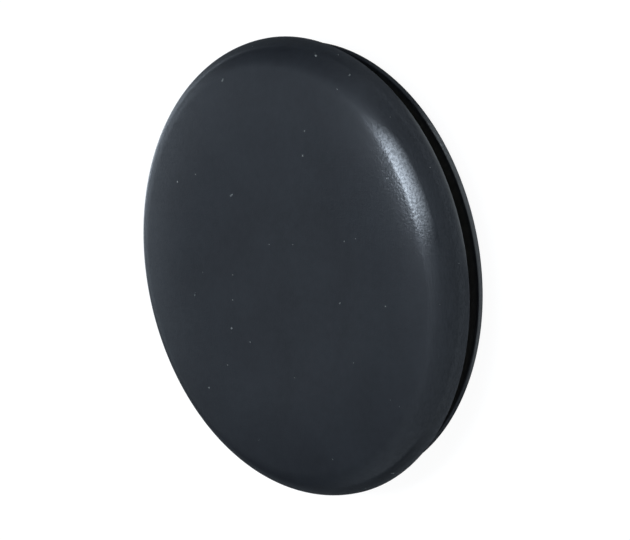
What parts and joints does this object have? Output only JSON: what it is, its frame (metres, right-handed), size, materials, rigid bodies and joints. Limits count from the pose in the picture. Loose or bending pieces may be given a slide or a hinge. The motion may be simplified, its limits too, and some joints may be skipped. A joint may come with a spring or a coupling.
{
  "type": "rubber grommet",
  "caption": "Closed round rubber grommet: low crowned cover with a rolled edge, panel groove, thin rear flange and a hollow back.",
  "frame": {"origin": "on the axis, in the plane of the flat foot ring that the grommet lies on", "axes": "+Z along the axis, from the back to the face; X and Y lie in the panel's plane and are alike"},
  "size_m": [0.06, 0.06, 0.0098],
  "materials": {
    "rubber": "moulded, satin, blue-black"
  },
  "bodies": {
    "root": {"grommet": "rubber"}
  },
  "joints": []
}
